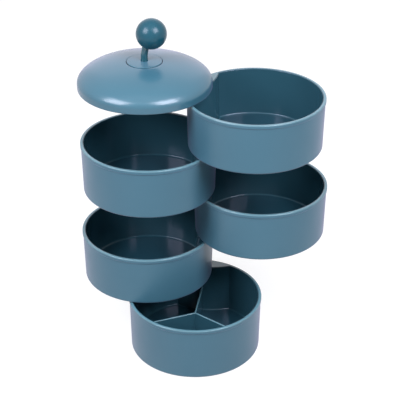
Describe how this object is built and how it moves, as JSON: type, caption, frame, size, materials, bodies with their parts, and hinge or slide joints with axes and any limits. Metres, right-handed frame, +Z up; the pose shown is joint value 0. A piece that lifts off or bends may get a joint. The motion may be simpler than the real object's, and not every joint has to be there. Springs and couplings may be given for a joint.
{
  "type": "rotating jewelry box",
  "caption": "Tower of open round trays and a domed lid with a ball handle that swing out about an off-centre upright shaft on a round base tray.",
  "frame": {"origin": "centre of the non-slip pad's underside, on the table under the base tray's axis", "axes": "+Z up along the tower; +Y from the base tray's axis towards the shaft; +X to the right seen from the front"},
  "size_m": [0.1837, 0.1402, 0.2492],
  "materials": {
    "tray_plastic": "satin moulded plastic, darker and glossier inside",
    "lid_plastic": "satin moulded plastic with a soft sheen",
    "handle_plastic": "smooth semi-gloss",
    "nylon": "natural moulded nylon",
    "steel": "bright drawn steel",
    "pad_foam": "fine closed-cell foam"
  },
  "bodies": {
    "base": {"base_tray": "tray_plastic", "base_divider": "tray_plastic", "base_pad": "pad_foam", "base_washer": "nylon", "pivot_shaft": "steel", "shaft_washer": "steel", "lid_washer": "nylon", "lid_spring_washer": "steel", "shaft_clip": "steel"},
    "tray_1": {"tray_1": "tray_plastic", "tier_washer_1": "nylon"},
    "tray_2": {"tray_2": "tray_plastic", "tier_washer_2": "nylon"},
    "tray_3": {"tray_3": "tray_plastic", "tier_washer_3": "nylon"},
    "tray_4": {"tray_4": "tray_plastic", "tier_washer_4": "nylon"},
    "lid": {"lid_dome": "lid_plastic", "lid_plate": "tray_plastic", "handle_disc": "lid_plastic", "handle_stem": "handle_plastic", "handle_ball": "handle_plastic", "handle_washer": "steel", "handle_screw": "steel"}
  },
  "joints": [
    {"name": "lid_turn", "type": "hinge", "parent": "base", "child": "lid", "pos_m": [0, 0.0433, 0.1981], "axis": [0, 0, 1], "continuous": true},
    {"name": "tray_1_turn", "type": "hinge", "parent": "base", "child": "tray_1", "pos_m": [0, 0.0433, 0.1594], "axis": [0, 0, 1], "continuous": true},
    {"name": "tray_2_turn", "type": "hinge", "parent": "base", "child": "tray_2", "pos_m": [0, 0.0433, 0.1207], "axis": [0, 0, 1], "continuous": true},
    {"name": "tray_3_turn", "type": "hinge", "parent": "base", "child": "tray_3", "pos_m": [0, 0.0433, 0.082], "axis": [0, 0, 1], "continuous": true},
    {"name": "tray_4_turn", "type": "hinge", "parent": "base", "child": "tray_4", "pos_m": [0, 0.0433, 0.0433], "axis": [0, 0, 1], "continuous": true}
  ]
}
